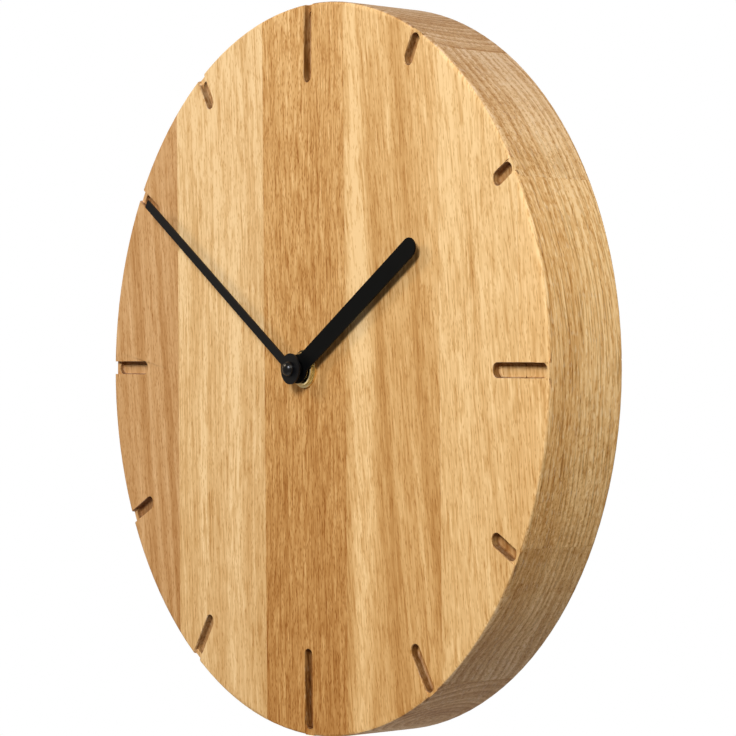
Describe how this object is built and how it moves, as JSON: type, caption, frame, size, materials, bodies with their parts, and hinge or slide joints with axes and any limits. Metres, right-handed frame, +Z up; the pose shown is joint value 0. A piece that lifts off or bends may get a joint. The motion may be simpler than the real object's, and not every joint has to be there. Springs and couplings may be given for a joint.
{
  "type": "wall clock",
  "caption": "Round wall clock of solid oak staves with routed hour marks, black bar hands and a quartz movement set in a pocket in the back.",
  "frame": {"origin": "point on the wall plane where the wall screw carries the clock, at the top of the keyhole slot", "axes": "+Z up, +Y into the wall, the dial faces -Y, +X to the right seen from the front"},
  "size_m": [0.25, 0.0397, 0.25],
  "materials": {
    "oak": "oiled oak, upright grain",
    "case_plastic": "fine moulded black",
    "knob_plastic": "moulded, ribbed edge",
    "gear_plastic": "moulded off-white",
    "steel": "zinc plated",
    "magnet": "ground grey",
    "copper": "enamelled copper wire",
    "board": "green solder mask",
    "chip_resin": "black resin",
    "crystal_can": "drawn metal can",
    "brass": "turned brass",
    "rubber": "black sheet",
    "hand_black": "satin black",
    "cap_black": "gloss black",
    "cell": "plain wrapped cell"
  },
  "bodies": {
    "clock_body": {"oak_stave_1": "oak", "oak_stave_2": "oak", "oak_stave_3": "oak", "oak_stave_4": "oak", "oak_stave_5": "oak", "oak_stave_6": "oak", "movement_front_case": "case_plastic", "movement_rear_case": "case_plastic", "train_plate": "gear_plastic", "stator": "steel", "coil_bobbin": "gear_plastic", "coil_winding": "copper", "circuit_board": "board", "chip_cover": "chip_resin", "quartz_crystal": "crystal_can", "contact_negative": "steel", "contact_positive": "steel", "threaded_bushing": "brass", "rubber_washer": "rubber", "dial_washer": "brass", "dial_nut": "brass", "hanger_plate": "steel", "hanger_screw_1": "steel", "hanger_screw_2": "steel"},
    "minute_group": {"minute_hand": "hand_black", "cap_nut": "cap_black", "minute_arbor": "steel"},
    "hour_group": {"hour_hand": "hand_black", "hour_wheel": "gear_plastic"},
    "setting_group": {"motion_wheel": "gear_plastic", "setting_knob": "knob_plastic"},
    "rotor_body": {"rotor": "magnet"},
    "intermediate_body": {"intermediate_wheel": "gear_plastic"},
    "second_body": {"second_wheel": "gear_plastic"},
    "third_body": {"third_wheel": "gear_plastic"},
    "centre_body": {"centre_wheel": "gear_plastic"},
    "cell_body": {"battery_cell": "cell"}
  },
  "joints": [
    {"name": "minute_turn", "type": "hinge", "parent": "clock_body", "child": "minute_group", "pos_m": [0, -0.016, -0.08], "axis": [0, 1, 0], "continuous": true},
    {"name": "hour_turn", "type": "hinge", "parent": "clock_body", "child": "hour_group", "pos_m": [0, -0.016, -0.08], "axis": [0, 1, 0], "continuous": true},
    {"name": "setting_turn", "type": "hinge", "parent": "clock_body", "child": "setting_group", "pos_m": [0.0096, -0.016, -0.08], "axis": [0, 1, 0], "continuous": true},
    {"name": "rotor_turn", "type": "hinge", "parent": "clock_body", "child": "rotor_body", "pos_m": [0.00233, -0.016, -0.06732], "axis": [0, 1, 0], "continuous": true},
    {"name": "intermediate_turn", "type": "hinge", "parent": "clock_body", "child": "intermediate_body", "pos_m": [-0.00117, -0.016, -0.07338], "axis": [0, 1, 0], "continuous": true},
    {"name": "second_turn", "type": "hinge", "parent": "clock_body", "child": "second_body", "pos_m": [0, -0.016, -0.08], "axis": [0, 1, 0], "continuous": true},
    {"name": "third_turn", "type": "hinge", "parent": "clock_body", "child": "third_body", "pos_m": [-0.00837, -0.016, -0.08148], "axis": [0, 1, 0], "continuous": true},
    {"name": "centre_turn", "type": "hinge", "parent": "clock_body", "child": "centre_body", "pos_m": [0, -0.016, -0.08], "axis": [0, 1, 0], "continuous": true},
    {"name": "cell_slide", "type": "slide", "parent": "clock_body", "child": "cell_body", "axis": [0, 1, 0], "range_m": [0, 0.03]}
  ],
  "couplings": [
    {"joint": "hour_turn", "follows": "minute_turn", "ratio": 0.083333},
    {"joint": "setting_turn", "follows": "minute_turn", "ratio": -0.33333},
    {"joint": "intermediate_turn", "follows": "rotor_turn", "ratio": -0.16667},
    {"joint": "second_turn", "follows": "rotor_turn", "ratio": 0.033333},
    {"joint": "third_turn", "follows": "rotor_turn", "ratio": -0.0044444},
    {"joint": "centre_turn", "follows": "rotor_turn", "ratio": 0.00055556}
  ]
}
